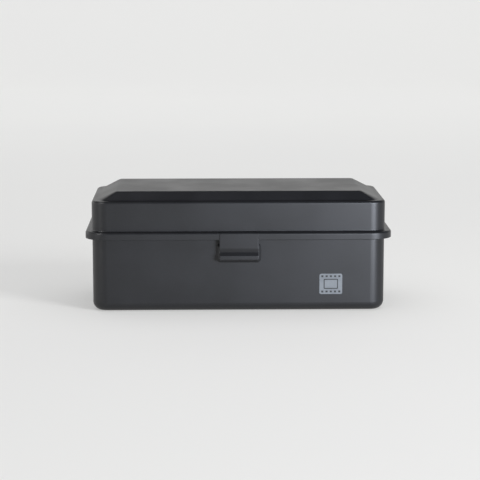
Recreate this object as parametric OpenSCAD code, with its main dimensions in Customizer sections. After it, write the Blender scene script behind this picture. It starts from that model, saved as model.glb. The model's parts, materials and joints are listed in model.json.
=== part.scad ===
// Pressed-steel storage case for rolls of film, with a hinged lid and a snap latch.
// Origin: centre of the base, on the surface it stands on. +X right, +Y back, +Z up.
// The front, with the latch, faces -Y.

/* [Case] */
// Width of the lid wall, outside, left to right
lid_w = 155; // [120:1:200]
// Depth of the lid wall, outside, front to back
lid_d = 68; // [54:1:90]
// Height of the parting plane, which is the underside of the lid flange, above the base
rim_h = 41.9; // [34:0.1:56]
// Height of the lid, from the parting plane to the raised top
lid_h = 21.3; // [17.5:0.1:30]
// Plan radius of the upright corners of the lid wall, outside
corner_r = 8; // [6:0.5:12]
// Thickness of the pressed steel sheet
sheet_t = 0.6; // [0.5:0.1:0.8]

/* [Body] */
// Step from the face of the lid wall in to the face of the body wall
body_step = 0.2; // [0:0.1:0.6]
// Outer radius of the edge round the base
base_edge_r = 4.5; // [3:0.5:5.5]
// Height of the turned-down edge of the body flange
body_edge_h = 1.6; // [1.4:0.1:2.4]

/* [Lid] */
// Outer radius of the shoulder between the lid wall and its ledge
shoulder_r = 2.2; // [1.4:0.1:3]
// Width of the flat ledge between the shoulder and the slope
ledge_w = 0.8; // [0.4:0.1:2]
// Height of the raised top above the ledge
top_rise = 4.7; // [3:0.1:7]
// Distance from the end walls in to the edge of the raised top
top_inset_x = 12.8; // [8:0.1:20]
// Distance from the front and back walls in to the edge of the raised top
top_inset_y = 6.6; // [5.6:0.1:12]
// Plan radius of the foot of the slope
slope_foot_r = 9; // [6:0.5:11]

/* [Rim] */
// Reach of the lid flange beyond the lid wall
flange_w = 3.4; // [3:0.1:4.5]
// Height of the lid lip, from the top of the flange to its lower edge
lip_h = 3.9; // [3:0.1:5]
// Radius of the hollow between the lid wall and the flange
flange_root_r = 0.7; // [0.5:0.1:1]
// Outer radius of the bend from the flange into the lip
flange_edge_r = 0.8; // [0.7:0.1:1.2]

/* [Latch] */
// Width of the latch tongue
tongue_w = 20.4; // [14:0.1:30]
// Height of the tongue root inside the lid wall
tongue_root_h = 7; // [4:0.5:12]
// Depth of the catch fold below the parting plane
tongue_reach = 10.4; // [8.5:0.1:16]
// Height of the finger lip at the foot of the tongue
finger_lip_h = 1.7; // [1.4:0.1:3]
// Distance that the finger lip stands proud of the tongue face
finger_lip_proud = 1.2; // [0.6:0.1:2]
// Reach of the catch plate beyond each side of the tongue
catch_side = 1.55; // [1:0.05:4]
// Height of the catch plate
catch_h = 10.2; // [8:0.1:14]
// Distance that the catch plate stands proud of the body wall
catch_proud = 1.5; // [1.2:0.1:1.8]

/* [Hinges] */
// Distance from the middle of the case out to the middle of each hinge
hinge_x = 46; // [24:1:56]
// Width of each hinge
hinge_w = 19; // [16:0.5:26]
// Outer radius of the knuckles
knuckle_r = 1.7; // [1.6:0.1:2.2]
// Radius of the hinge pins
pin_r = 0.8; // [0.6:0.05:0.9]
// Thickness of the hinge leaves
leaf_t = 0.7; // [0.5:0.1:0.8]
// Height of each leaf on its wall
leaf_h = 9; // [8:0.5:12]
// Radius of the rivet shanks
rivet_r = 0.9; // [0.7:0.1:1.1]
// Distance between the two rivets of a leaf
rivet_pitch = 11; // [9:0.5:16]

/* [Liners] */
// Thickness of the foam liners
liner_t = 1.6; // [1:0.1:3]
// Gap between a liner and the walls round it
liner_gap = 0.6; // [0.3:0.1:1.5]

/* [Clearances] */
// Gap between the two flanges when the case is shut
rim_gap = 0.3; // [0.2:0.05:0.5]
// Gap between the lid lip and the edge of the body flange
lip_gap = 0.35; // [0.25:0.05:0.6]
// Gap at each side of the latch tongue
tongue_gap = 0.2; // [0.15:0.05:0.4]
// Gap between the latch tongue and the lid wall or the catch plate
latch_gap = 0.3; // [0.2:0.05:0.5]
// Gap between neighbouring knuckles, and from a knuckle to the lip
knuckle_gap = 0.3; // [0.2:0.05:0.5]
// Radial clearance of a pin in its knuckles
pin_clear = 0.05; // [0.02:0.01:0.08]
// Radial clearance of a rivet in its holes
rivet_clear = 0.05; // [0.02:0.01:0.1]
// Hairline between parts that lie against each other
seat_gap = 0.02; // [0.01:0.01:0.05]

/* [Hidden] */
$fn = 96;

coat = [0.17, 0.175, 0.18];
steel = [0.62, 0.63, 0.65];
foam = [0.10, 0.10, 0.11];

half_t = sheet_t / 2;
cut = 1;                                        // how far a cutter runs past the face it cuts
lap = 0.03;                                     // how far a run beside a slanting bend goes into its bends
thin = 0.005;                                   // how far such a run's faces lie inside the bends' faces
body_w = lid_w - 2 * body_step;
body_d = lid_d - 2 * body_step;
body_corner_r = corner_r - body_step;
body_rim_z = rim_h - rim_gap;
case_h = rim_h + lid_h;
flange_top_z = rim_h + sheet_t;
lip_z = flange_top_z - lip_h;                   // lower edge of the lid lip
ledge_z = case_h - top_rise;                    // top of the ledge round the raised top
lip_face = lid_d / 2 + flange_w;                // outer face of the lip, out from the middle
body_face = body_d / 2;
body_flange_reach = flange_w - sheet_t - lip_gap;
body_root_r = 0.5;                              // inner radius of the bend from body wall to flange
body_edge_r = 0.2;                              // inner radius of the bend down the body flange

// Where the slope of the lid starts, and how far its edges are eased
foot_inset = shoulder_r + ledge_w;
top_corner_r = 1.6;
top_edge = 0.5;

// Latch tongue, as a strip bent along points in front of the lid
catch_z = rim_h - tongue_reach;
tongue_face = lip_face - half_t;                // middle of the strip
catch_face = body_face + catch_proud;
fold_u = catch_face + latch_gap / 2 + half_t;   // middle of the strip where it folds inwards
fold_half_h = 1.8;
lip_u = tongue_face + finger_lip_proud;
finger_lip_z = catch_z - fold_half_h;
curl_w = 1.3;
curl_h = 1.0;
tongue_bend_r = 0.55;
fold_lead_r = 0.9;
fold_r = 0.7;
wall_end_z = flange_top_z + flange_root_r;      // where the lid wall stops over the tongue

// Catch plate
catch_t = 0.5;
catch_skin = 0.1;                               // thickness of the slabs its dish is hulled from
catch_corner_r = 2;
catch_w = tongue_w + 2 * catch_side;
catch_drop = 0.3;                               // from the slot down to the middle of the plate
catch_mid_z = catch_z - catch_drop;
catch_slot_w = 0.7 * tongue_w;
catch_slot_h = 2.2;
catch_slot_r = 0.9;

// Hinge
axis_y = lip_face + knuckle_gap + knuckle_r;
axis_z = lip_z;
leaf_mid_r = knuckle_r - leaf_t / 2;
leaf_inner_r = 0.5;                             // inner radius of a leaf's bends
leaf_bend_r = leaf_t / 2 + leaf_inner_r;
knuckle_l = (hinge_w - 2 * knuckle_gap) / 3;
body_leaf_y = body_face + seat_gap + leaf_t / 2;
lid_leaf_y = lid_d / 2 + seat_gap + leaf_t / 2;
lid_leaf_foot_z = flange_top_z + seat_gap + leaf_t / 2;
body_leaf_z = axis_z - leaf_mid_r - leaf_h;     // lower end of the body leaf
lid_leaf_z = lid_leaf_foot_z + leaf_h;          // upper end of the lid leaf
rivet_edge = 3;                                 // from a rivet to the end of its leaf
rivet_head_r = 1.9 * rivet_r;
rivet_head_h = 0.8 * rivet_r;
pin_head_r = 1.7 * pin_r;
pin_head_h = 0.5;

// ---------------------------------------------------------------- helpers

function unit(v) = v / norm(v);
function left_of(d) = [-d.y, d.x];
function turn(p, i) = let (a = unit(p[i] - p[i - 1]), b = unit(p[i + 1] - p[i]))
    atan2(a.x * b.y - a.y * b.x, a * b);
function is_end(p, i) = i == 0 || i == len(p) - 1;
function trim(p, r, i) = is_end(p, i) ? 0 : r[i - 1] * tan(abs(turn(p, i)) / 2);

function is_square(p, i) = is_end(p, i) || abs(abs(turn(p, i)) - 90) < 0.01;
function lap_at(p, i, slant) = slant && !is_end(p, i) ? lap : 0;

// A strip of sheet of thickness t, bent along the points p with radius r[i - 1] at point i
module bent_strip(p, r, t) {
    for (i = [0 : len(p) - 2]) {
        d = unit(p[i + 1] - p[i]);
        slant = !(is_square(p, i) && is_square(p, i + 1));
        start = trim(p, r, i) - lap_at(p, i, slant);
        stop = trim(p, r, i + 1) - lap_at(p, i + 1, slant);
        run = norm(p[i + 1] - p[i]) - start - stop;
        w = slant ? t - 2 * thin : t;
        if (run > lap)
            translate(p[i] + d * start)
                rotate(atan2(d.y, d.x))
                    translate([0, -w / 2])
                        square([run, w]);
    }
    for (i = [1 : len(p) - 2]) {
        d = unit(p[i] - p[i - 1]);
        side = turn(p, i) > 0 ? 1 : -1;
        out = -side * left_of(d);
        translate(p[i] - d * trim(p, r, i) - out * r[i - 1])
            rotate(atan2(out.y, out.x))
                mirror([0, side < 0 ? 1 : 0])
                    ring_sector(r[i - 1], t, abs(turn(p, i)));
    }
}

// A piece of a flat ring of middle radius r and width t, from angle 0 to angle a
module ring_sector(r, t, a) {
    reach = 2 * (r + t);
    intersection() {
        difference() {
            circle(r + t / 2);
            circle(r - t / 2);
        }
        polygon([[0, 0], [reach, 0], reach * [cos(a / 2), sin(a / 2)], reach * [cos(a), sin(a)]]);
    }
}

// Rectangle with round corners, centred
module rounded_plan(w, d, r) {
    square([w - 2 * r, d], center = true);
    square([w, d - 2 * r], center = true);
    for (x = [-1, 1], y = [-1, 1])
        translate([x * (w / 2 - r), y * (d / 2 - r)])
            circle(r);
}

// Carries a section round a rounded rectangle; the section's x is measured from the corner centre
module round_the_rim(w, d, r) {
    run_x = w - 2 * r;
    run_y = d - 2 * r;
    for (q = [[1, 1, 0], [-1, 1, 90], [-1, -1, 180], [1, -1, 270]])
        translate([q[0] * run_x / 2, q[1] * run_y / 2, 0])
            rotate(q[2])
                rotate_extrude(angle = 90)
                    children();
    for (q = [[run_x / 2, run_y, 0], [run_y / 2, run_x, 90], [run_x / 2, run_y, 180], [run_y / 2, run_x, 270]])
        rotate(q[2])
            translate([q[0], q[1] / 2, 0])
                rotate([90, 0, 0])
                    linear_extrude(q[1])
                        children();
}

// Thin slab with round corners for the hulls of the raised top
module slab(w, d, r, z, h) {
    translate([0, 0, z])
        linear_extrude(h)
            rounded_plan(w, d, r, $fn = 32);
}

// Extrudes a section drawn as (outward, up) across the front of the case, centred on X
module across_front(w) {
    translate([-w / 2, 0, 0])
        rotate([90, 0, 90])
            linear_extrude(w)
                mirror([1, 0])
                    children();
}

// Extrudes a section drawn as (backward, up) between two distances along X
module along_x(x0, x1) {
    translate([x0, 0, 0])
        rotate([90, 0, 90])
            linear_extrude(x1 - x0)
                children();
}

// Places its children at the rivets of a leaf; y is the wall's face and z the rivets' height
module at_rivets(y, z) {
    for (x = [-1, 1])
        translate([x * rivet_pitch / 2, y, z])
            rotate([-90, 0, 0])
                children();
}

// ---------------------------------------------------------------- body

module body_shell() {
    mid = body_corner_r - half_t;
    edge = body_corner_r + body_step + body_flange_reach - half_t;
    section = [
        [0, half_t], [mid, half_t], [mid, body_rim_z - half_t],
        [edge, body_rim_z - half_t], [edge, body_rim_z - body_edge_h]
    ];
    bends = [base_edge_r - half_t, half_t + body_root_r, half_t + body_edge_r];
    color(coat)
        difference() {
            union() {
                round_the_rim(body_w, body_d, body_corner_r)
                    bent_strip(section, bends, sheet_t);
                translate([0, 0, half_t])
                    cube([body_w - 2 * body_corner_r, body_d - 2 * body_corner_r, sheet_t], center = true);
            }
            for (x = [-hinge_x, hinge_x])
                translate([x, 0, 0])
                    at_rivets(body_face - sheet_t - cut, body_leaf_z + rivet_edge)
                        cylinder(r = rivet_r + rivet_clear, h = sheet_t + 2 * cut);
        }
}

// Pressed dish on the front of the body, with the slot that the tongue's fold snaps into
module catch_plate() {
    back = body_face + seat_gap;
    color(coat)
        translate([0, -back, catch_mid_z])
            rotate([90, 0, 0])
                difference() {
                    dish(0, 0, catch_proud - seat_gap);
                    dish(catch_t, catch_skin, catch_proud - seat_gap - catch_t);
                    translate([0, catch_drop, 0])
                        linear_extrude(catch_proud + cut)
                            rounded_plan(catch_slot_w, catch_slot_h, catch_slot_r);
                }
}

// Solid with flanks at 45 degrees; inset takes its foot in and sink lowers its foot
module dish(inset, sink, h) {
    flank = catch_proud + inset / 4;
    r = catch_corner_r - inset / 2;
    hull() {
        slab(catch_w - 2 * inset, catch_h - 2 * inset, r, -sink, catch_skin);
        slab(catch_w - 2 * flank, catch_h - 2 * flank, r, h - catch_skin, catch_skin);
    }
}

module base_liner() {
    inset = base_edge_r;
    color(foam)
        translate([0, 0, sheet_t + seat_gap])
            linear_extrude(liner_t)
                rounded_plan(body_w - 2 * inset, body_d - 2 * inset, body_corner_r - base_edge_r + liner_gap);
}

// ---------------------------------------------------------------- lid

// Solid shape of the raised top; shrink takes its sides in and drop lowers it
module raised_top(shrink, drop) {
    foot_w = lid_w - 2 * foot_inset - 2 * shrink;
    foot_d = lid_d - 2 * foot_inset - 2 * shrink;
    top_w = lid_w - 2 * top_inset_x - shrink;
    top_d = lid_d - 2 * top_inset_y - shrink;
    foot_r = slope_foot_r - shrink;
    hull() {
        slab(foot_w, foot_d, foot_r, ledge_z - sheet_t - drop, sheet_t);
        slab(top_w + top_edge, top_d + top_edge, top_corner_r, case_h - drop - top_edge, top_edge / 2);
        slab(top_w - top_edge / 2, top_d - top_edge / 2, top_corner_r, case_h - drop - top_edge / 4, top_edge / 4);
    }
}

module lid_shell() {
    mid = corner_r - half_t;
    edge = corner_r + flange_w - half_t;
    section = [
        [corner_r - shoulder_r, ledge_z - half_t], [mid, ledge_z - half_t], [mid, rim_h + half_t],
        [edge, rim_h + half_t], [edge, lip_z]
    ];
    bends = [shoulder_r - half_t, flange_root_r + half_t, flange_edge_r - half_t];
    color(coat)
        difference() {
            union() {
                round_the_rim(lid_w, lid_d, corner_r)
                    bent_strip(section, bends, sheet_t);
                translate([0, 0, ledge_z - sheet_t])
                    linear_extrude(sheet_t)
                        rounded_plan(lid_w - 2 * shoulder_r, lid_d - 2 * shoulder_r, corner_r - shoulder_r);
                raised_top(0, 0);
            }
            raised_top(sheet_t, sheet_t);
            tongue_notch();
            for (x = [-hinge_x, hinge_x])
                translate([x, 0, 0])
                    at_rivets(lid_d / 2 - sheet_t - cut, lid_leaf_z - rivet_edge)
                        cylinder(r = rivet_r + rivet_clear, h = sheet_t + 2 * cut);
        }
}

// Opening in the lid flange and lip that the latch tongue passes through
module tongue_notch() {
    notch_w = tongue_w + 2 * tongue_gap;
    translate([-notch_w / 2, -lip_face - cut, lip_z - cut])
        cube([notch_w, flange_w + sheet_t + 2 * cut, wall_end_z - lip_z + cut]);
}

// Spring plate: root inside the lid wall, leg through the notch, face flush with the lip,
// a fold that snaps into the catch plate, and a curled finger lip
module latch_tongue() {
    root_u = lid_d / 2 - sheet_t - latch_gap - half_t;
    leg_z = rim_h + half_t;
    section = [
        [root_u, leg_z + tongue_root_h], [root_u, leg_z], [tongue_face, leg_z],
        [tongue_face, catch_z + fold_half_h], [fold_u, catch_z],
        [lip_u, finger_lip_z], [lip_u, finger_lip_z - finger_lip_h],
        [lip_u - curl_w, finger_lip_z - finger_lip_h], [lip_u - curl_w, finger_lip_z - finger_lip_h + curl_h]
    ];
    bends = [
        tongue_bend_r, flange_edge_r - half_t, fold_lead_r, fold_r,
        tongue_bend_r, tongue_bend_r, tongue_bend_r
    ];
    color(coat)
        across_front(tongue_w)
            bent_strip(section, bends, sheet_t);
}

module lid_liner() {
    color(foam)
        translate([0, 0, case_h - sheet_t - seat_gap - liner_t])
            linear_extrude(liner_t)
                rounded_plan(lid_w - 2 * top_inset_x - 2 * liner_gap - sheet_t,
                    lid_d - 2 * top_inset_y - 2 * liner_gap - sheet_t, top_corner_r);
}

// ---------------------------------------------------------------- hinges

// One knuckle, from x0 to x1, bored for the pin
module knuckle(x0, x1) {
    along_x(x0, x1)
        translate([axis_y, axis_z])
            difference() {
                circle(knuckle_r);
                circle(pin_r + pin_clear);
            }
}

// Keeps a leaf's strip out of the pin's bore
module clear_of_pin(x0, x1) {
    difference() {
        children();
        along_x(x0 - cut, x1 + cut)
            translate([axis_y, axis_z])
                circle(pin_r + pin_clear);
    }
}

// Leaf riveted to the back wall of the body, with the two outer knuckles
module hinge_body_leaf() {
    half = hinge_w / 2;
    foot_z = axis_z - leaf_mid_r;
    strip = [[axis_y, foot_z], [body_leaf_y, foot_z], [body_leaf_y, body_leaf_z]];
    color(coat)
        difference() {
            union() {
                for (x = [-half, half - knuckle_l]) {
                    knuckle(x, x + knuckle_l);
                    clear_of_pin(x, x + knuckle_l)
                        along_x(x, x + knuckle_l)
                            bent_strip([strip[0], strip[1], strip[1] - [0, leaf_bend_r]], [leaf_bend_r], leaf_t);
                }
                along_x(-half, half)
                    bent_strip([strip[1] - [0, leaf_bend_r], strip[2]], [], leaf_t);
            }
            at_rivets(body_face - cut, body_leaf_z + rivet_edge)
                cylinder(r = rivet_r + rivet_clear, h = leaf_t + 3 * cut);
        }
}

// Leaf riveted to the back wall of the lid, stepped over the flange, with the middle knuckle
module hinge_lid_leaf() {
    half = hinge_w / 2;
    rise_y = axis_y - leaf_mid_r;
    step_z = axis_z + knuckle_r + knuckle_gap;
    strip = [[rise_y, step_z], [rise_y, lid_leaf_foot_z], [lid_leaf_y, lid_leaf_foot_z], [lid_leaf_y, lid_leaf_z]];
    color(coat)
        difference() {
            union() {
                knuckle(-knuckle_l / 2, knuckle_l / 2);
                clear_of_pin(-knuckle_l / 2, knuckle_l / 2)
                    along_x(-knuckle_l / 2, knuckle_l / 2)
                        bent_strip([[rise_y, axis_z], strip[0]], [], leaf_t);
                along_x(-half, half)
                    bent_strip(strip, [leaf_bend_r, leaf_bend_r], leaf_t);
            }
            at_rivets(lid_d / 2 - cut, lid_leaf_z - rivet_edge)
                cylinder(r = rivet_r + rivet_clear, h = leaf_t + 3 * cut);
        }
}

// Pin with a peened head at each end
module hinge_pin() {
    half = hinge_w / 2 + seat_gap;
    color(steel)
        translate([0, axis_y, axis_z])
            rotate([0, 90, 0]) {
                cylinder(r = pin_r, h = 2 * half, center = true);
                for (end = [-1, 1])
                    translate([0, 0, end * (half + pin_head_h / 2)])
                        cylinder(r = pin_head_r, h = pin_head_h, center = true);
            }
}

// Rivet through a wall and a leaf, drawn along +Z from the inner face of the wall
module rivet() {
    grip = sheet_t + leaf_t + 3 * seat_gap;
    translate([0, 0, -seat_gap])
        cylinder(r = rivet_r, h = grip);
    translate([0, 0, grip - seat_gap])
        rivet_dome();
    translate([0, 0, -seat_gap])
        mirror([0, 0, 1])
            rivet_dome();
}

module rivet_dome() {
    sphere_r = (rivet_head_r * rivet_head_r + rivet_head_h * rivet_head_h) / (2 * rivet_head_h);
    intersection() {
        translate([0, 0, rivet_head_h - sphere_r])
            sphere(sphere_r);
        cylinder(r = 2 * rivet_head_r, h = 2 * rivet_head_h);
    }
}

module body_rivets() {
    color(coat)
        at_rivets(body_face - sheet_t, body_leaf_z + rivet_edge)
            rivet();
}

module lid_rivets() {
    color(coat)
        at_rivets(lid_d / 2 - sheet_t, lid_leaf_z - rivet_edge)
            rivet();
}

module on_left() {
    translate([-hinge_x, 0, 0])
        children();
}

module on_right() {
    translate([hinge_x, 0, 0])
        children();
}

body_shell();
catch_plate();
base_liner();
lid_shell();
lid_liner();
latch_tongue();
on_left() hinge_body_leaf();  // left_hinge_body_leaf
on_left() hinge_lid_leaf();  // left_hinge_lid_leaf
on_left() hinge_pin();  // left_hinge_pin
on_left() body_rivets();  // left_body_rivets
on_left() lid_rivets();  // left_lid_rivets
on_right() hinge_body_leaf();  // right_hinge_body_leaf
on_right() hinge_lid_leaf();  // right_hinge_lid_leaf
on_right() hinge_pin();  // right_hinge_pin
on_right() body_rivets();  // right_body_rivets
on_right() lid_rivets();  // right_lid_rivets
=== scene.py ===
"""Looks of the film storage case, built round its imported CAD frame. Metres, row frame."""

import json
import math

import bmesh
import bpy
from mathutils import Matrix, Vector, noise

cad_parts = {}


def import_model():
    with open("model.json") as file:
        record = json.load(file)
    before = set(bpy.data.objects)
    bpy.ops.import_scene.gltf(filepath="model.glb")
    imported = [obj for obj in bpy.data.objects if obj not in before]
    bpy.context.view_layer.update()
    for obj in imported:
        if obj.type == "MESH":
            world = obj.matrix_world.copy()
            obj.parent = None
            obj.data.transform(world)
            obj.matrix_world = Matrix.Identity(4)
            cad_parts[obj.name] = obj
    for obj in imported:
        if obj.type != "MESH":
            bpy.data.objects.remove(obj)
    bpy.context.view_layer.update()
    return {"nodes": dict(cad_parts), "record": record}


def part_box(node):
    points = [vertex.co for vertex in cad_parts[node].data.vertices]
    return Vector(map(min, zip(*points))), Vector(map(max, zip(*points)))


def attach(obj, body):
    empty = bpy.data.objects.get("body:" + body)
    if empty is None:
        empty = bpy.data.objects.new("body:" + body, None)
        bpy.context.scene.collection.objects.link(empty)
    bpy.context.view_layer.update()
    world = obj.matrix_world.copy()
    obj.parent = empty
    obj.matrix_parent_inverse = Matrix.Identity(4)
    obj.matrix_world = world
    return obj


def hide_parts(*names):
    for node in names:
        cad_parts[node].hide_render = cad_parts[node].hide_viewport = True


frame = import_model()

MM = 0.001
NODES = frame["nodes"]
LID_LOW, LID_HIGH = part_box("lid_shell")
TONGUE_LOW, TONGUE_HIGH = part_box("latch_tongue")
CATCH_LOW, CATCH_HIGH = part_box("catch_plate")

# ------------------------------------------------------------------ node helpers


class Graph:
    """Short ways to add and link the nodes of one material."""

    def __init__(self, name):
        self.material = bpy.data.materials.new(name)
        self.material.use_nodes = True
        self.tree = self.material.node_tree
        self.tree.nodes.clear()
        self.out = self.add("ShaderNodeOutputMaterial")
        self.shader = self.add("ShaderNodeBsdfPrincipled")
        self.link(self.shader.outputs[0], self.out.inputs["Surface"])
        self.place = self.add("ShaderNodeTexCoord").outputs["Object"]

    def add(self, kind, **values):
        node = self.tree.nodes.new(kind)
        for key, value in values.items():
            setattr(node, key, value)
        return node

    def link(self, a, b):
        self.tree.links.new(a, b)

    def put(self, socket, value):
        """Links a socket to another one, or sets it to a plain value."""
        if isinstance(value, bpy.types.NodeSocket):
            self.link(value, socket)
        else:
            socket.default_value = value

    def set(self, **values):
        """Sets inputs of the shader, with _ for each space in their names."""
        for key, value in values.items():
            self.put(self.shader.inputs[key.replace("_", " ")], value)

    def noise(self, size, detail=2.0, roughness=0.5, vector=None):
        """Noise whose features are about size metres across."""
        node = self.add("ShaderNodeTexNoise")
        self.put(node.inputs["Vector"], vector or self.place)
        node.inputs["Scale"].default_value = 1 / size
        node.inputs["Detail"].default_value = detail
        node.inputs["Roughness"].default_value = roughness
        return node.outputs["Fac"]

    def cells(self, size):
        """Distance to the middle of cells about size metres across."""
        node = self.add("ShaderNodeTexVoronoi", feature="F1")
        self.put(node.inputs["Vector"], self.place)
        node.inputs["Scale"].default_value = 1 / size
        node.inputs["Randomness"].default_value = 1.0
        return node.outputs["Distance"]

    def ramp(self, value, low, high, out_low=0.0, out_high=1.0):
        """Smooth step from out_low to out_high as value goes from low to high."""
        node = self.add("ShaderNodeMapRange", clamp=True, interpolation_type="SMOOTHSTEP")
        for socket, given in zip(node.inputs, (value, low, high, out_low, out_high)):
            self.put(socket, given)
        return node.outputs[0]

    def math(self, operation, a, b=0.0):
        node = self.add("ShaderNodeMath", operation=operation)
        self.put(node.inputs[0], a)
        self.put(node.inputs[1], b)
        return node.outputs[0]

    def mix(self, factor, a, b):
        """Colour between a and b."""
        node = self.add("ShaderNodeMix", data_type="RGBA")
        self.put(node.inputs[0], factor)
        for socket, colour in ((node.inputs[6], a), (node.inputs[7], b)):
            self.put(socket, colour if isinstance(colour, bpy.types.NodeSocket) else (*colour, 1))
        return node.outputs[2]

    def edges(self, reach):
        """One along sharp edges and zero on flat faces."""
        eased = self.add("ShaderNodeBevel", samples=4)
        eased.inputs["Radius"].default_value = reach
        facing = self.add("ShaderNodeVectorMath", operation="DOT_PRODUCT")
        self.link(eased.outputs[0], facing.inputs[0])
        self.link(self.add("ShaderNodeNewGeometry").outputs["Normal"], facing.inputs[1])
        return self.ramp(facing.outputs["Value"], 0.90, 0.985, 1.0, 0.0)

    def bump(self, height, distance, strength=1.0, normal=None):
        node = self.add("ShaderNodeBump")
        node.inputs["Strength"].default_value = strength
        node.inputs["Distance"].default_value = distance
        self.put(node.inputs["Height"], height)
        if normal is not None:
            self.link(normal, node.inputs["Normal"])
        return node.outputs[0]


def powder_coat(name, base, light, dark, rough):
    """Satin powder coat: orange peel, fine grain, clouding, a few specks and lighter worn edges."""
    g = Graph(name)
    clouds = g.noise(0.028, 3.0, 0.55)
    grain = g.noise(0.00022, 1.0)
    specks = g.ramp(g.cells(0.0034), 0.030, 0.045, 1.0, 0.0)
    sparse = g.math("MULTIPLY", specks, g.ramp(g.noise(0.012, 1.0), 0.56, 0.62))
    tone = g.mix(g.ramp(clouds, 0.3, 0.7), dark, base)
    tone = g.mix(g.ramp(grain, 0.52, 0.80, 0.0, 0.5), tone, light)
    tone = g.mix(g.math("MULTIPLY", sparse, 0.35), tone, light)
    peel = g.noise(0.0011, 1.5, 0.45)
    fine = g.noise(0.00028, 2.0, 0.6)
    rubbed = g.ramp(g.noise(0.005), 0.42, 0.70, 0.1, 0.8)
    tone = g.mix(g.math("MULTIPLY", g.edges(0.0005), rubbed), tone, light)
    normal = g.bump(peel, 0.00003, 0.30)
    normal = g.bump(fine, 0.00001, 0.35, normal)
    g.set(Base_Color=tone, Roughness=g.ramp(clouds, 0.3, 0.7, rough - 0.03, rough + 0.04), Normal=normal)
    g.set(Specular_IOR_Level=0.45, IOR=1.5)
    return g.material


def drawn_steel(name):
    """Bare wire: long fine drawing lines along X, with dull patches."""
    g = Graph(name)
    stretch = g.add("ShaderNodeMapping")
    g.link(g.place, stretch.inputs["Vector"])
    stretch.inputs["Scale"].default_value = (0.06, 1, 1)
    lines = g.noise(0.00022, 3.0, 0.65, stretch.outputs[0])
    dull = g.noise(0.0025, 2.0)
    tone = g.mix(g.ramp(lines, 0.3, 0.7), (0.36, 0.36, 0.37), (0.58, 0.58, 0.59))
    tone = g.mix(g.ramp(dull, 0.5, 0.75, 0.0, 0.6), tone, (0.27, 0.265, 0.26))
    g.set(Base_Color=tone, Metallic=1.0, Roughness=g.ramp(dull, 0.35, 0.75, 0.28, 0.5))
    g.set(Normal=g.bump(lines, 0.00001, 0.4))
    return g.material


def foam(name):
    """Fine closed-cell foam: small pores with soft rims, each pore painted darker towards its middle as
    shade in its hollow.
    """
    g = Graph(name)
    pores = g.cells(0.00055)
    coarse = g.cells(0.0013)
    # Painted shade: darker towards the middle of each pore, as shade in the pore hollows. The same mask also
    # gives the pores their bump depth.
    pore_depth_and_shade = g.ramp(pores, 0.05, 0.42)
    holes = g.ramp(coarse, 0.05, 0.30)
    tone = g.mix(pore_depth_and_shade, (0.010, 0.010, 0.011), (0.036, 0.036, 0.039))
    tone = g.mix(g.ramp(g.noise(0.02, 3.0), 0.35, 0.7, 0.0, 0.5), tone, (0.05, 0.05, 0.052))
    normal = g.bump(pore_depth_and_shade, 0.00012, 0.6)
    normal = g.bump(holes, 0.00015, 0.4, normal)
    g.set(Base_Color=tone, Roughness=g.ramp(pores, 0.1, 0.5, 0.95, 0.78), Normal=normal)
    g.set(Specular_IOR_Level=0.25, Sheen_Weight=0.15, Sheen_Roughness=0.5)
    return g.material


def print_ink(name):
    """Screen-printed grey ink: slightly uneven cover over the coat's orange peel."""
    g = Graph(name)
    cover = g.noise(0.0004, 3.0, 0.6)
    wash = g.noise(0.006, 2.0)
    tone = g.mix(g.ramp(wash, 0.3, 0.7), (0.112, 0.122, 0.131), (0.136, 0.147, 0.156))
    tone = g.mix(g.ramp(cover, 0.62, 0.75, 0.0, 0.6), tone, (0.070, 0.078, 0.086))
    g.set(Base_Color=tone, Roughness=g.ramp(cover, 0.3, 0.7, 0.46, 0.58))
    g.set(Normal=g.bump(g.noise(0.0011, 1.5, 0.45), 0.00003, 0.25))
    return g.material


COAT = powder_coat(
    "coat",
    base=(0.0068, 0.0070, 0.0082),
    light=(0.020, 0.0205, 0.0225),
    dark=(0.0060, 0.0062, 0.0071),
    rough=0.42,
)
STEEL = drawn_steel("drawn_steel")
FOAM = foam("foam")
INK = print_ink("ink")

for record_row in frame["record"]["subparts"]:
    node = NODES[record_row["node"]]
    material = {"coat": COAT, "steel": STEEL, "foam": FOAM}[record_row["material_slot"]]
    node.data.materials.clear()
    node.data.materials.append(material)

# ------------------------------------------------------------------ mesh helpers


def hand_in(obj, body, replaced, material):
    """Gives a piece its body and its material, and hides the CAD nodes that it stands for."""
    obj.data.materials.append(material)
    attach(obj, body)
    if replaced:
        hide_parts(*replaced)
    return obj


def new_object(name, mesh):
    """Object of a mesh, in the scene."""
    obj = bpy.data.objects.new(name, mesh)
    bpy.context.collection.objects.link(obj)
    return obj


def smooth(mesh, angle=35):
    """Smooth shading, with sharp edges left where faces turn by more than an angle."""
    for face in mesh.polygons:
        face.use_smooth = True
    mesh.set_sharp_from_angle(angle=math.radians(angle))


def baked(obj, *modifiers):
    """Applies modifiers, each (kind, settings), and leaves their result as the mesh."""
    for kind, settings in modifiers:
        modifier = obj.modifiers.new(kind.lower(), kind)
        for key, value in settings.items():
            setattr(modifier, key, value)
    graph = bpy.context.evaluated_depsgraph_get()
    mesh = bpy.data.meshes.new_from_object(obj.evaluated_get(graph))
    obj.modifiers.clear()
    old = obj.data
    obj.data = mesh
    bpy.data.meshes.remove(old)
    return obj


def cut_by_boxes(obj, boxes):
    """Takes boxes, each (low corner, high corner), out of an object."""
    cutters = []
    for low, high in boxes:
        mesh = bpy.data.meshes.new("cutter")
        work = bmesh.new()
        bmesh.ops.create_cube(work, size=1.0)
        middle, size = (Vector(low) + Vector(high)) / 2, Vector(high) - Vector(low)
        work.transform(Matrix.Translation(middle) @ Matrix.Diagonal((*size, 1)))
        work.to_mesh(mesh)
        work.free()
        cutters.append(new_object("cutter", mesh))
    cuts = [("BOOLEAN", {"operation": "DIFFERENCE", "object": c, "solver": "EXACT"}) for c in cutters]
    baked(obj, *cuts)
    for cutter in cutters:
        bpy.data.meshes.remove(cutter.data)
    return obj


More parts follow.
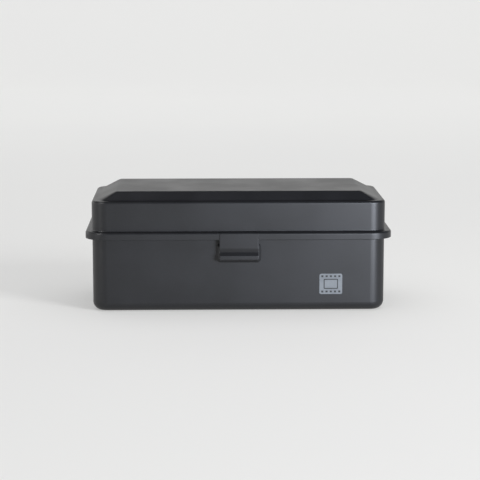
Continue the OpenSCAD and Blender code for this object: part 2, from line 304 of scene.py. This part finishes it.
def bent_line(points, radii, step=15, guard=0.15):
    """Line through 2-D points with a round bend at each inner one; guard points keep runs flat."""
    line = [Vector(points[0])]
    for before, here, after, r in zip(points, points[1:], points[2:], radii):
        a = (Vector(here) - Vector(before)).normalized()
        b = (Vector(after) - Vector(here)).normalized()
        side = 1 if a.x * b.y - a.y * b.x > 0 else -1
        turn = a.angle(b)
        trim = r * math.tan(turn / 2)
        start = Vector(here) - a * trim
        out = Vector((-a.y, a.x)) * side * r
        centre = start + out
        count = max(2, math.ceil(math.degrees(turn) / step))
        if (start - line[-1]).length > 2.5 * guard:
            line.append(start - a * guard)
        for i in range(count + 1):
            t = side * turn * i / count
            c, n = math.cos(t), math.sin(t)
            line.append(centre + Vector((-out.x * c + out.y * n, -out.x * n - out.y * c)))
        line.append(line[-1] + b * min(guard, 0.3 * (Vector(after) - Vector(here)).length))
    line.append(Vector(points[-1]))
    return line


def rounded_ring(a, b, r, z, steps=10, guard=0.3):
    """Points of a rounded rectangle, half sizes a and b in millimetres; r may be (along x, along y)."""
    rx, ry = r if isinstance(r, tuple) else (r, r)
    points = []
    for sx, sy, first in ((1, 1, 0), (-1, 1, 90), (-1, -1, 180), (1, -1, 270)):
        centre = Vector((sx * (a - rx), sy * (b - ry), z))
        start, end = math.radians(first), math.radians(first + 90)
        angles = [start + (end - start) * i / steps for i in range(steps + 1)]
        corner = [centre + Vector((rx * math.cos(t), ry * math.sin(t), 0)) for t in angles]
        before = Vector((math.sin(start), -math.cos(start), 0)) * guard
        after = Vector((-math.sin(end), math.cos(end), 0)) * guard
        points.append(corner[0] + before)
        points.extend(corner)
        points.append(corner[-1] + after)
    return points


def loft(name, rings):
    """Mesh through rings of millimetre points, with flat caps."""
    mesh = bpy.data.meshes.new(name)
    count = len(rings[0])
    points = [tuple(Vector(p) * MM) for ring in rings for p in ring]
    faces = []
    for k in range(len(rings) - 1):
        for i in range(count):
            j = (i + 1) % count
            faces.append((k * count + i, k * count + j, (k + 1) * count + j, (k + 1) * count + i))
    faces.append(tuple(reversed(range(count))))
    last = (len(rings) - 1) * count
    faces.append(tuple(range(last, last + count)))
    mesh.from_pydata(points, [], faces)
    work = bmesh.new()
    work.from_mesh(mesh)
    bmesh.ops.recalc_face_normals(work, faces=work.faces)
    work.to_mesh(mesh)
    work.free()
    return new_object(name, mesh)


def mixed(first, second, t):
    """Step from one value, or tuple of values, towards another."""
    if isinstance(first, tuple):
        return tuple(mixed(p, q, t) for p, q in zip(first, second))
    return first + (second - first) * t


def eased_corner(before, corner, after, reach_in, reach_out, steps=5):
    """Rings (a, b, r, z) of a curve that rounds the corner between two runs of a loft."""
    start, end = mixed(corner, before, reach_in), mixed(corner, after, reach_out)
    rings = []
    for i in range(steps + 1):
        t = i / steps
        rings.append(mixed(mixed(start, corner, t), mixed(corner, end, t), t))
    return rings


# ------------------------------------------------------------------ lid pressing

# Millimetres from here to the studio. A is half a size along X, B half a size along Y.
SHEET = 0.6
LID_A = (LID_HIGH.x - LID_LOW.x) / 2 / MM
LID_B = (LID_HIGH.y - LID_LOW.y) / 2 / MM
TOP_Z = LID_HIGH.z / MM
LIP_Z = LID_LOW.z / MM
FLANGE_W = 3.4
LIP_H = 3.9
WALL_A, WALL_B, WALL_R = LID_A - FLANGE_W, LID_B - FLANGE_W, 8.0
FLANGE_Z = LIP_Z + LIP_H
FLANGE_ROOT_R, LIP_EDGE_R, UNDER_ROOT_R = 0.7, 0.22, 1.3
TOP_RISE = 4.7
LEDGE_Z = TOP_Z - TOP_RISE
SHOULDER_R, LIP_R = 1.4, 1.15
FOOT_INSET, FOOT_R = 3.0, (4.4, 9.5)
TOP_INSET_X, TOP_INSET_Y, TOP_R = 12.8, 6.6, (1.0, 1.6)
NOTCH_GAP = 0.1


def lid_rings(sink):
    """Rings of the lid's raised top, from its middle down to the ledge, sunk by the sheet or not."""
    top = (WALL_A - TOP_INSET_X - sink * 0.6, WALL_B - TOP_INSET_Y - sink * 0.6, TOP_R, TOP_Z - sink)
    foot_r = tuple(r - sink for r in FOOT_R)
    foot = (WALL_A - FOOT_INSET - sink, WALL_B - FOOT_INSET - sink, foot_r, LEDGE_Z - sink)
    middle = (top[0] - 6, top[1] - 6, TOP_R, top[3])
    reach = SHOULDER_R + 0.3
    ledge = (WALL_A - reach, WALL_B - reach, (WALL_R - reach,) * 2, LEDGE_Z - sink)
    rings = [(top[0] - 1.2, top[1] - 1.2, TOP_R, top[3])]
    rings += eased_corner(middle, top, foot, 0.12, 0.10)
    rings += eased_corner(top, foot, ledge, 0.09, 0.62)
    return rings


def lid_shell():
    """The lid as one smooth drawn sheet: raised top, slope, ledge, shoulder, wall, flange, lip."""
    outside = bent_line(
        [(-SHOULDER_R - 0.1, LEDGE_Z), (0, LEDGE_Z), (0, FLANGE_Z), (FLANGE_W, FLANGE_Z), (FLANGE_W, LIP_Z),
         (FLANGE_W - SHEET, LIP_Z), (FLANGE_W - SHEET, FLANGE_Z - SHEET), (-SHEET, FLANGE_Z - SHEET),
         (-SHEET, LEDGE_Z - SHEET), (-SHOULDER_R - 0.1, LEDGE_Z - SHEET)],
        [SHOULDER_R, FLANGE_ROOT_R, LIP_R, LIP_EDGE_R, LIP_EDGE_R,
         LIP_R - SHEET, UNDER_ROOT_R, SHOULDER_R - SHEET],
    )
    rings = [rounded_ring(*ring) for ring in lid_rings(0)]
    for u, z in outside[1:-1]:
        rings.append(rounded_ring(WALL_A + u, WALL_B + u, max(WALL_R + u, 1), z))
    rings += [rounded_ring(*ring) for ring in reversed(lid_rings(SHEET))]
    obj = loft("lid_pressing", rings)
    notch_half = (TONGUE_HIGH.x - TONGUE_LOW.x) / 2 + NOTCH_GAP * MM
    cut_by_boxes(obj, [(
        (-notch_half, -(LID_B + 1) * MM, (LIP_Z - 1) * MM),
        (notch_half, -(WALL_B - SHEET - 1) * MM, (FLANGE_Z + 0.2) * MM),
    )])
    smooth(obj.data)
    return hand_in(obj, "lid", ["lid_shell"], COAT)


# ------------------------------------------------------------------ latch

FACE_U = LID_B - SHEET / 2
TONGUE_W = (TONGUE_HIGH.x - TONGUE_LOW.x) / MM
CATCH_W = (CATCH_HIGH.x - CATCH_LOW.x) / MM
CATCH_H = (CATCH_HIGH.z - CATCH_LOW.z) / MM
CATCH_Z = (CATCH_HIGH.z + CATCH_LOW.z) / 2 / MM
CATCH_BACK = -CATCH_HIGH.y / MM
CATCH_FACE = -CATCH_LOW.y / MM
TONGUE_FOOT = TONGUE_LOW.z / MM
TONGUE_TOP = TONGUE_HIGH.z / MM
# The middle of the tongue's strip, outwards from the case's middle, at its finger lip
LIP_U = -TONGUE_LOW.y / MM - SHEET / 2
WELD_GAP = 0.3
# Heights above the finger lip's foot, and how far the fold stands off the catch plate
FOLD_H, FOLD_LEAD_H, FOLD_LOW_H, LIP_BEND_H = 3.5, 2.45, 0.50, 2.15
FOLD_STANDOFF = 0.98
CURL_W, CURL_H = 1.3, 1.0
SLOT_W, SLOT_H, SLOT_RISE = 0.7 * TONGUE_W, 2.2, 0.3


def strip(points, radii, thickness):
    """Closed outline of a bent strip: one face out along the line, the other back."""
    line = bent_line(points, radii, step=10)
    sides = []
    for i, p in enumerate(line):
        a = line[max(i - 1, 0)]
        b = line[min(i + 1, len(line) - 1)]
        d = (b - a).normalized()
        sides.append(Vector((-d.y, d.x)) * thickness / 2)
    return [p + n for p, n in zip(line, sides)] + [p - n for p, n in reversed(list(zip(line, sides)))]


def latch_tongue():
    """Spring plate with a fold in front of the catch's slot and a curled finger lip."""
    root_u = WALL_B - SHEET - WELD_GAP - SHEET / 2
    leg_z = FLANGE_Z - SHEET / 2
    foot_z = TONGUE_FOOT + SHEET / 2
    fold_z = foot_z + FOLD_H
    outline = strip(
        [(root_u, TONGUE_TOP), (root_u, leg_z), (FACE_U, leg_z), (FACE_U, fold_z + FOLD_LEAD_H),
         (CATCH_FACE + FOLD_STANDOFF + SHEET / 2, fold_z + FOLD_LOW_H), (LIP_U, foot_z + LIP_BEND_H),
         (LIP_U, foot_z), (LIP_U - CURL_W, foot_z), (LIP_U - CURL_W, foot_z + CURL_H)],
        [0.55, 0.85, 3.2, 0.40, 0.5, 0.55, 0.55], SHEET,
    )
    half = TONGUE_W / 2
    stations = (-half, -half + 0.5, half - 0.5, half)
    rings = [[Vector((x, -u, z)) for u, z in outline] for x in stations]
    obj = loft("latch_plate", rings)
    baked(obj, ("BEVEL", {"width": 0.14 * MM, "segments": 3, "limit_method": "ANGLE",
                          "angle_limit": math.radians(50), "harden_normals": False}))
    smooth(obj.data, 40)
    return hand_in(obj, "latch", ["latch_tongue"], COAT)


def catch_plate():
    """Pressed dish with soft shoulders, and the slot behind the tongue's fold."""
    foot = (CATCH_W / 2, CATCH_H / 2, 2.0, CATCH_BACK)
    crown = (CATCH_W / 2 - 1.5, CATCH_H / 2 - 1.5, 1.3, CATCH_FACE)
    centre = (crown[0] - 2, crown[1] - 2, 0.8, CATCH_FACE)
    outer = [foot, mixed(foot, crown, 0.05)]
    outer += list(reversed(eased_corner(centre, crown, foot, 0.42, 0.45)))
    outer.append(mixed(crown, centre, 0.6))
    thick = 0.5
    under = [(a - thick, b - thick, max(r - thick, 0.4), y - thick) for a, b, r, y in reversed(outer[2:])]
    under.append((foot[0] - thick * 1.5, foot[1] - thick * 1.5, 1.4, CATCH_BACK))
    rings = []
    for a, b, r, y in under + outer:
        rings.append([Vector((p.x, -y, CATCH_Z + p.y)) for p in rounded_ring(a, b, r, 0, steps=8)])
    obj = loft("catch_dish", rings)
    slot_z = CATCH_Z + SLOT_RISE
    cut_by_boxes(obj, [(
        (-SLOT_W / 2 * MM, -(CATCH_FACE + 1) * MM, (slot_z - SLOT_H / 2) * MM),
        (SLOT_W / 2 * MM, -(CATCH_BACK - 1) * MM, (slot_z + SLOT_H / 2) * MM),
    )])
    smooth(obj.data)
    return hand_in(obj, "case", ["catch_plate"], COAT)


# ------------------------------------------------------------------ liners and small parts


def pad(name, node, body, corner):
    """Foam sheet with soft, slightly uneven edges and faces, in the place of its CAD solid."""
    low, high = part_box(node)
    a, b = (high.x - low.x) / 2 / MM, (high.y - low.y) / 2 / MM
    z0, z1 = low.z / MM, high.z / MM
    edge = 0.45
    rings = []
    for inset, z in ((10, z0), (edge, z0), (edge * 0.3, z0 + edge * 0.3), (0, z0 + edge)):
        rings.append((inset, z))
    for inset, z in ((0, z1 - edge), (edge * 0.3, z1 - edge * 0.3), (edge, z1), (1.6, z1), (4, z1), (8, z1)):
        rings.append((inset, z))
    made = [rounded_ring(a - inset, b - inset, max(corner - inset, 0.6), z, steps=8) for inset, z in rings]
    obj = loft(name, made)
    baked(obj, ("REMESH", {"mode": "VOXEL", "voxel_size": 0.5 * MM}))
    top, bottom = z1 * MM, z0 * MM
    for vertex in obj.data.vertices:
        p = vertex.co / (11 * MM)
        wave = noise.noise(p) + 0.5 * noise.noise(p * 2.7)
        share = (vertex.co.z - bottom) / (top - bottom)
        dip = 0.10 * MM * (0.5 + 0.5 * wave)
        vertex.co.z -= dip * share if body == "case" else -dip * (1 - share)
    smooth(obj.data, 60)
    hand_in(obj, body, [node], FOAM)


def eased_node(node, body, width, material):
    """A CAD part's shape with its sharp edges broken."""
    mesh = NODES[node].data.copy()
    mesh.materials.clear()
    work = bmesh.new()
    work.from_mesh(mesh)
    bmesh.ops.remove_doubles(work, verts=work.verts, dist=0.002 * MM)
    bmesh.ops.dissolve_limit(work, angle_limit=math.radians(1), verts=work.verts, edges=work.edges)
    work.to_mesh(mesh)
    work.free()
    obj = new_object(node.replace("hinge_", "") + "_eased", mesh)
    baked(obj, ("BEVEL", {"width": width * MM, "segments": 2, "limit_method": "ANGLE",
                          "angle_limit": math.radians(40), "use_clamp_overlap": True}))
    smooth(obj.data, 40)
    return hand_in(obj, body, [node], material)


# The printed mark: its middle, its size, and its perforations
MARK_X, MARK_Z, MARK_W, MARK_H = 48.6, 14.4, 12.05, 10.9
HOLE_W, HOLE_H, HOLE_STEP, HOLE_ROW, HOLES = 1.1, 1.0, 2.25, 4.1, 5
BODY_FRONT = -(WALL_B - 0.2)
PRINT_GAP, PRINT_T = 0.012, 0.010


def printed_mark():
    """Generic pictogram of a film frame between two rows of perforations, as thin print."""
    face = BODY_FRONT - PRINT_GAP
    work = bmesh.new()

    def loop(x, z, w, h, r):
        """Outline of a rounded rectangle that stands upright."""
        ring = rounded_ring(w / 2, h / 2, r, 0, steps=5, guard=0.02)
        return [Vector((x + p.x, 0, z + p.y)) for p in ring]

    def tile(x, z, w, h, r, hole=None):
        """Flat rounded tile, or a frame when a hole (w, h, r) is given."""
        loops = [loop(x, z, w, h, r)]
        if hole:
            loops.append(loop(x, z, *hole))
        levels = []
        for y in (face, face - PRINT_T):
            levels.append([[work.verts.new((p.x * MM, y * MM, p.z * MM)) for p in line] for line in loops])
        count = len(loops[0])
        for i in range(count):
            j = (i + 1) % count
            for k in range(len(loops)):
                work.faces.new((levels[0][k][i], levels[0][k][j], levels[1][k][j], levels[1][k][i]))
            if hole:
                for level in levels:
                    work.faces.new((level[0][i], level[0][j], level[1][j], level[1][i]))
        if not hole:
            for level in levels:
                work.faces.new(level[0])

    tile(MARK_X, MARK_Z, MARK_W, MARK_H, 0.9, hole=(7.6, 5.4, 0.5))
    tile(MARK_X, MARK_Z, 6.6, 4.4, 0.3)
    bmesh.ops.recalc_face_normals(work, faces=work.faces)
    mesh = bpy.data.meshes.new("printed_mark")
    work.to_mesh(mesh)
    work.free()
    obj = new_object("printed_mark", mesh)
    holes = []
    for row in (-1, 1):
        for column in range(HOLES):
            middle = Vector((MARK_X + (column - HOLES // 2) * HOLE_STEP, face, MARK_Z + row * HOLE_ROW))
            reach = Vector((HOLE_W / 2, 1, HOLE_H / 2))
            holes.append(((middle - reach) * MM, (middle + reach) * MM))
    cut_by_boxes(obj, holes)
    return hand_in(obj, "case", [], INK)


lid_shell()
latch_tongue()
catch_plate()
pad("base_pad", "base_liner", "case", 3.9)
pad("lid_pad", "lid_liner", "lid", 1.6)
for side in ("left", "right"):
    eased_node(side + "_hinge_body_leaf", "case", 0.12, COAT)
    eased_node(side + "_hinge_lid_leaf", "lid", 0.12, COAT)
    eased_node(side + "_hinge_pin", "case", 0.15, STEEL)
printed_mark()

# ------------------------------------------------------------------ studio

CAMERA_AIM = Vector((1.42, 0, 32.62)) * MM
CAMERA_DISTANCE = 927.8 * MM
CAMERA_PITCH = math.radians(9.15)
CAMERA_YAW = math.radians(1.42)


def camera():
    """Camera in front of the case and a little above it."""
    data = bpy.data.cameras.new("camera")
    data.sensor_width = 36
    data.lens = 127.5
    data.clip_start, data.clip_end = 0.01, 20
    ahead = Vector((
        math.sin(CAMERA_YAW) * math.cos(CAMERA_PITCH),
        math.cos(CAMERA_YAW) * math.cos(CAMERA_PITCH),
        -math.sin(CAMERA_PITCH),
    ))
    obj = bpy.data.objects.new("camera", data)
    obj.location = CAMERA_AIM - ahead * CAMERA_DISTANCE
    obj.rotation_mode = "QUATERNION"
    obj.rotation_quaternion = ahead.to_track_quat("-Z", "Y")
    bpy.context.collection.objects.link(obj)
    bpy.context.scene.camera = obj


def paper(name, grey, near_glow, far_glow):
    """Pale lit paper: part of its brightness is its own, as under an even studio sky."""
    g = Graph(name)
    shade = g.noise(0.5, 2.0)
    tone = g.mix(g.ramp(shade, 0.3, 0.7), (grey, grey, grey * 0.99), (grey * 0.98,) * 3)
    g.set(Base_Color=tone, Roughness=0.9)
    split = g.add("ShaderNodeSeparateXYZ")
    g.link(g.place, split.inputs[0])
    g.set(Emission_Strength=g.ramp(split.outputs["Y"], 0.15, 1.5, near_glow, far_glow))
    g.set(Specular_IOR_Level=0.1, Emission_Color=(1.0, 1.0, 0.985, 1))
    return g.material


def sweep():
    """Pale table top that curves up into a backdrop."""
    near, bend_y, radius, half, top = -2.5, 1.6, 0.55, 3.0, 1.7
    line = [(near, 0.0), (0.0, 0.0), (bend_y, 0.0)]
    steps = 24
    for i in range(1, steps + 1):
        a = math.pi / 2 * i / steps
        line.append((bend_y + radius * math.sin(a), radius * (1 - math.cos(a))))
    line.append((bend_y + radius, top))
    mesh = bpy.data.meshes.new("sweep")
    points = [(x, y, z) for y, z in line for x in (-half, half)]
    faces = [(2 * i, 2 * i + 1, 2 * i + 3, 2 * i + 2) for i in range(len(line) - 1)]
    mesh.from_pydata(points, [], faces)
    for face in mesh.polygons:
        face.use_smooth = True
    obj = bpy.data.objects.new("sweep", mesh)
    bpy.context.collection.objects.link(obj)
    mesh.materials.append(paper("paper", 0.48, 0.35, 0.475))
    return obj


def linked(name, floor, state):
    """A light-linking collection that keeps a light to the floor or off it."""
    group = bpy.data.collections.new(name)
    group.objects.link(floor)
    group.collection_objects[0].light_linking.link_state = state
    return group


def box_light(name, azimuth, elevation, distance, size, power, receivers=None, colour=(1, 1, 1)):
    """Softbox. Azimuth 0 is in front of the case and 90 to its right."""
    a, e = math.radians(azimuth), math.radians(elevation)
    out = Vector((math.sin(a) * math.cos(e), -math.cos(a) * math.cos(e), math.sin(e)))
    data = bpy.data.lights.new(name, "AREA")
    data.shape = "RECTANGLE"
    data.size, data.size_y = size
    data.energy = power
    data.color = colour
    obj = bpy.data.objects.new(name, data)
    obj.location = Vector((0, 0, 0.03)) + out * distance
    obj.rotation_mode = "QUATERNION"
    obj.rotation_quaternion = (-out).to_track_quat("-Z", "Y")
    bpy.context.collection.objects.link(obj)
    obj.light_linking.receiver_collection = receivers
    obj.visible_camera = False


def world():
    """Soft sky: bright low down, darker overhead."""
    w = bpy.data.worlds.new("studio")
    bpy.context.scene.world = w
    w.use_nodes = True
    tree = w.node_tree
    tree.nodes.clear()
    out = tree.nodes.new("ShaderNodeOutputWorld")
    background = tree.nodes.new("ShaderNodeBackground")
    ramp = tree.nodes.new("ShaderNodeValToRGB")
    split = tree.nodes.new("ShaderNodeSeparateXYZ")
    coord = tree.nodes.new("ShaderNodeTexCoord")
    tree.links.new(coord.outputs["Generated"], split.inputs[0])
    tree.links.new(split.outputs["Z"], ramp.inputs[0])
    tree.links.new(ramp.outputs[0], background.inputs["Color"])
    tree.links.new(background.outputs[0], out.inputs["Surface"])
    ramp.color_ramp.interpolation = "EASE"
    stops = ramp.color_ramp.elements
    stops[0].position, stops[0].color = 0.0, (0.80, 0.81, 0.82, 1)
    stops[1].position, stops[1].color = 1.0, (0.10, 0.10, 0.105, 1)
    low = stops.new(0.10)
    low.color = (0.30, 0.305, 0.31, 1)
    high = stops.new(0.40)
    high.color = (0.10, 0.10, 0.105, 1)
    background.inputs["Strength"].default_value = 1.0


camera()
FLOOR = sweep()
world()
OFF_FLOOR = linked("off_floor", FLOOR, "EXCLUDE")
ON_FLOOR = linked("on_floor", FLOOR, "INCLUDE")
COOL = (0.91, 0.97, 1.09)
# Name, azimuth and elevation in degrees, distance and size in metres, power in watts
box_light("key", 25, 9, 0.42, (0.05, 0.08), 1.0, OFF_FLOOR, COOL)
box_light("side", 35.5, 5, 0.6, (0.10, 0.10), 2.6, OFF_FLOOR, COOL)
box_light("left_low", -54, 8, 0.6, (0.14, 0.20), 0.32, OFF_FLOOR)
box_light("left_high", -58, 44, 0.6, (0.10, 0.08), 1.3, OFF_FLOOR)
box_light("left_back", -110, 12, 1.1, (1.2, 0.5), 2.2, OFF_FLOOR)
box_light("back", 180, 24, 1.4, (1.4, 0.5), 0.8, OFF_FLOOR)
box_light("top", 0, 88, 1.6, (3.2, 3.2), 29, ON_FLOOR)
box_light("floor_right", 48, 20, 1.6, (0.5, 0.5), 18, ON_FLOOR)
bpy.context.scene.view_settings.view_transform = "Standard"
